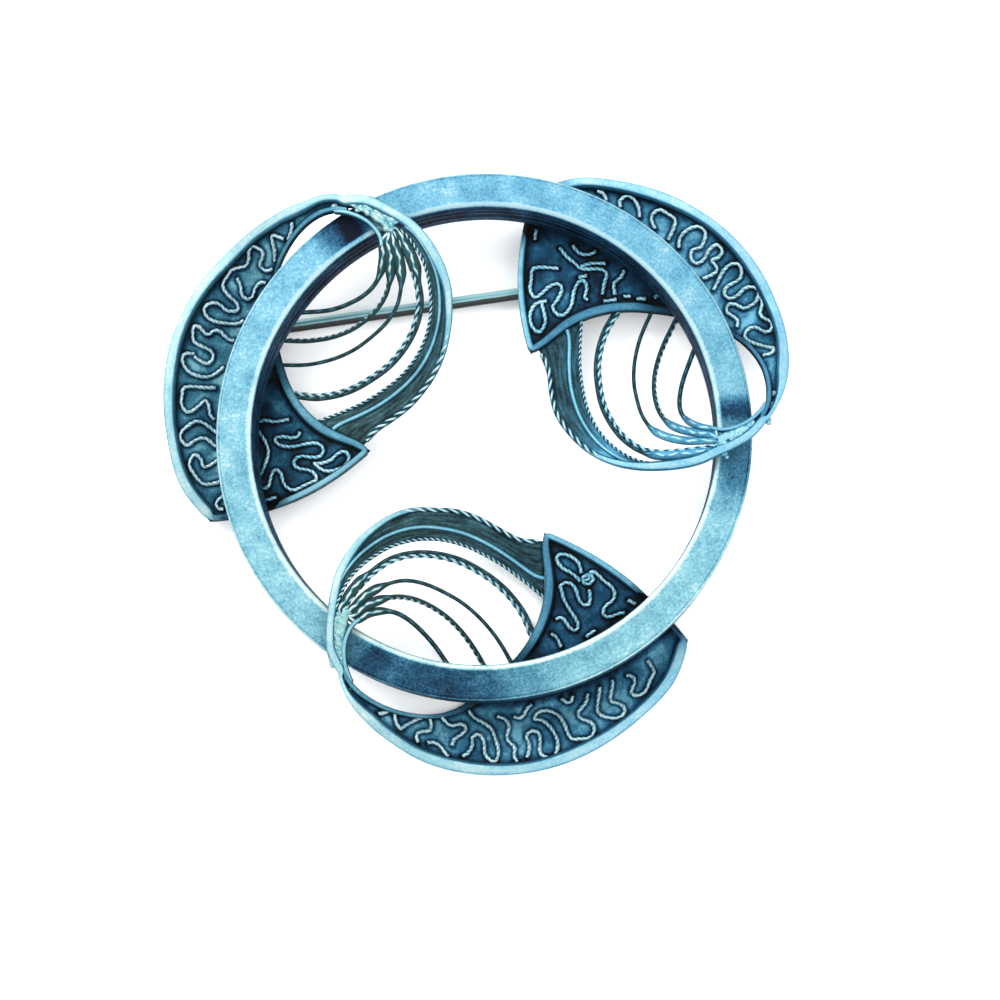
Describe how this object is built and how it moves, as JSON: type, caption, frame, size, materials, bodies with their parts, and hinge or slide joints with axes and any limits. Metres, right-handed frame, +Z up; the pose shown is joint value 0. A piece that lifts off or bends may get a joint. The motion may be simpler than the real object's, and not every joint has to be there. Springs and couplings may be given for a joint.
{
  "type": "circle brooch",
  "caption": "Openwork circle brooch: a flat-faced ring threaded through curled filigree leaves, with a hinged straight pin behind.",
  "frame": {"origin": "middle of the jewel's outline, on the surface that it lies on, back down", "axes": "+Z up from the surface, out of the jewel's face; +Y towards the top of the jewel as it is worn, +X to its right as seen from the front"},
  "size_m": [0.0522, 0.0508, 0.0091],
  "materials": {
    "bright_silver": "worn, lightly brushed sterling silver with a cool tarnish",
    "dark_silver": "oxidised silver, darkened blue, with twisted wire soldered on and rubbed bright on top",
    "pin_silver": "drawn silver wire, dull with fine scratches"
  },
  "bodies": {
    "brooch": {"ring": "bright_silver", "leaf_plate_right": "dark_silver", "leaf_plate_left": "dark_silver", "leaf_plate_bottom": "dark_silver", "fan_band_right": "dark_silver", "fan_band_left": "dark_silver", "fan_band_bottom": "dark_silver", "rib_1_right": "bright_silver", "rib_1_left": "bright_silver", "rib_1_bottom": "bright_silver", "rib_2_right": "bright_silver", "rib_2_left": "bright_silver", "rib_2_bottom": "bright_silver", "rib_3_right": "bright_silver", "rib_3_left": "bright_silver", "rib_3_bottom": "bright_silver", "rib_4_right": "bright_silver", "rib_4_left": "bright_silver", "rib_4_bottom": "bright_silver", "knot_right": "bright_silver", "knot_left": "bright_silver", "knot_bottom": "bright_silver", "hinge_block": "bright_silver", "hinge_rivet": "bright_silver", "catch": "bright_silver"},
    "pin": {"pin_stem": "pin_silver"}
  },
  "joints": [
    {"name": "pin_hinge", "type": "hinge", "parent": "brooch", "child": "pin", "pos_m": [-0.01953, 0.01266, 0.00087], "axis": [-0.1389, 0.9883, 0.063], "range_deg": [0, 100]}
  ]
}
